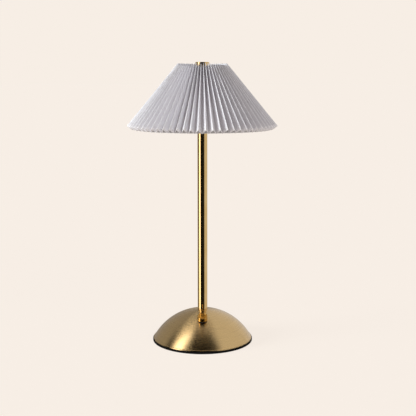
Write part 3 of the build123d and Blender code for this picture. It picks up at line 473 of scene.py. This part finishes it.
def window(tree, value, low, high, soft):
    """1 where value is between low and high, fading to 0 over soft at each side."""
    upward = {"Value": value, "From Min": low - soft, "From Max": low + soft}
    downward = {"Value": value, "From Min": high - soft, "From Max": high + soft}
    downward.update({"To Min": 1.0, "To Max": 0.0})
    rise = node(tree, "MapRange", upward, interpolation_type="SMOOTHSTEP").outputs[0]
    fall = node(tree, "MapRange", downward, interpolation_type="SMOOTHSTEP").outputs[0]
    return maths(tree, "MULTIPLY", rise, fall)


def make_world():
    """A pale backdrop for the camera, the panels for reflections and an even light for the rest."""
    world = bpy.data.worlds.new("studio")
    bpy.context.scene.world = world
    world.use_nodes = True
    tree = world.node_tree
    background = tree.nodes["Background"]
    direction = node(tree, "TexCoord").outputs["Generated"]
    x, y, z = node(tree, "SeparateXYZ", {0: direction}).outputs
    forward = maths(tree, "MULTIPLY", y, -1.0)
    azimuth = maths(tree, "DEGREES", maths(tree, "ARCTAN2", x, forward))
    height = maths(tree, "DEGREES", maths(tree, "ARCSINE", z))
    total = AMBIENT
    for _name, turn, rise, soft, power in PANELS:
        across = window(tree, azimuth, *turn, soft)
        upright = window(tree, height, *rise, soft)
        total = maths(tree, "MULTIPLY_ADD", maths(tree, "MULTIPLY", across, upright), power, total)
    grey = node(tree, "CombineXYZ", {0: total, 1: total, 2: total}).outputs[0]
    panels = mixed(tree, 1.0, PANEL_TINT, grey, "MULTIPLY")
    path = node(tree, "LightPath").outputs
    light = mixed(tree, path["Is Glossy Ray"], ROOM_LIGHT, panels)
    tree.links.new(mixed(tree, path["Is Camera Ray"], light, BACKDROP), background.inputs["Color"])


def make_floor():
    """A pale floor of the backdrop's tone. It doesn't show in the brass."""
    bpy.ops.mesh.primitive_plane_add(size=FLOOR_SIZE)
    floor = bpy.context.object
    floor.name = "floor"
    material, tree, shader = new_material("floor")
    grain = noise(tree, object_point(tree), 40.0, 3.0, 0.5)
    feed(tree, mixed(tree, ramp(tree, grain, 0.3, 0.7, 0.0, 1.0), FLOOR, FLOOR_WORN), shader, "Base Color")
    shader.inputs["Roughness"].default_value = 1.0
    shader.inputs["Specular IOR Level"].default_value = 0.0
    shader.inputs["Emission Color"].default_value = BACKDROP
    shader.inputs["Emission Strength"].default_value = FLOOR_GLOW
    floor.data.materials.append(material)
    floor.visible_glossy = False


def make_lamps():
    """The two soft suns."""
    for name, azimuth, height, spread, power, colour in LAMPS:
        lamp = bpy.data.objects.new(name, bpy.data.lights.new(name, "SUN"))
        bpy.context.scene.collection.objects.link(lamp)
        lamp.rotation_euler = (radians(90 - height), 0.0, radians(azimuth))
        lamp.data.angle = radians(spread)
        lamp.data.energy = power
        lamp.data.color = colour
        lamp.visible_glossy = False


def make_camera():
    """A camera a little below the shade's top, looking slightly down at the lamp."""
    camera = bpy.data.objects.new("camera", bpy.data.cameras.new("camera"))
    bpy.context.scene.collection.objects.link(camera)
    camera.location = CAMERA_PLACE
    camera.rotation_euler = (radians(90 - CAMERA_DIP), 0.0, 0.0)
    camera.data.sensor_width = SENSOR_WIDTH
    camera.data.lens = LENS
    bpy.context.scene.camera = camera


make_camera()
make_world()
make_floor()
make_lamps()
bpy.context.scene.view_settings.view_transform = "Standard"
make_shade(pleated_cloth())

paint_cad([
    (brushed_brass(), ["base_dome"]),
    (polished_brass("polished_brass", BRASS, BRASS_WORN, 0.12),
     ["stem_tube", "finial", "stem_foot_bushing", "stem_head_bushing", "diffuser_nut", "spacer_tube",
      "shade_hub"]),
    (polished_brass("deep_brass", BRASS_DEEP, BRASS_DEEP_WORN, 0.05), ["dimmer_knob"]),
    (plain_metal("zinc_steel", *ZINC, 0.35, 120.0),
     ["bottom_plate", "plate_screws", "nipple_washer", "nipple_nut", "stem_nipple", "tray_screws",
      "board_standoffs", "board_screws", "led_screws", "shade_stud", "dimmer_nut", "dimmer_shaft",
      "knob_set_screw", "usb_socket"]),
    (plain_metal("cast_iron", *CAST_IRON, 0.6, 60.0), ["base_weight"]),
    (plain_metal("heat_sink", *ALUMINIUM, 0.32, 90.0), ["led_carrier"]),
    (moulded("rubber", *RUBBER, 0.85, shine=0.05), ["foot_ring"]),
    (moulded("black_plastic", *BLACK_PLASTIC, 0.45),
     ["battery_tray", "usb_bezel", "dimmer_body", "dimmer_washer", "switch_plunger", "board_parts"]),
    (moulded("white_wire", *WHITE_ENAMEL, 0.35),
     ["spider_arms", "shade_top_ring", "shade_bottom_ring", "shade_struts"]),
    (moulded("lining_film", *WHITE_FILM, 0.6, grain_size=0.5 * MM), ["shade_lining"]),
    (moulded("white_board", *WHITE_BOARD, 0.35), ["led_board"]),
    (moulded("cell_sleeve", *CELL_SLEEVE, 0.3), ["battery_cells"]),
    (moulded("wire_sleeve", *WIRE_SLEEVE, 0.4), ["base_leads", "lamp_wire"]),
    (moulded("phosphor", *PHOSPHOR, 0.4), ["led_chips"]),
    (circuit_board(), ["control_board", "usb_board"]),
    (opal(), ["diffuser"]),
])
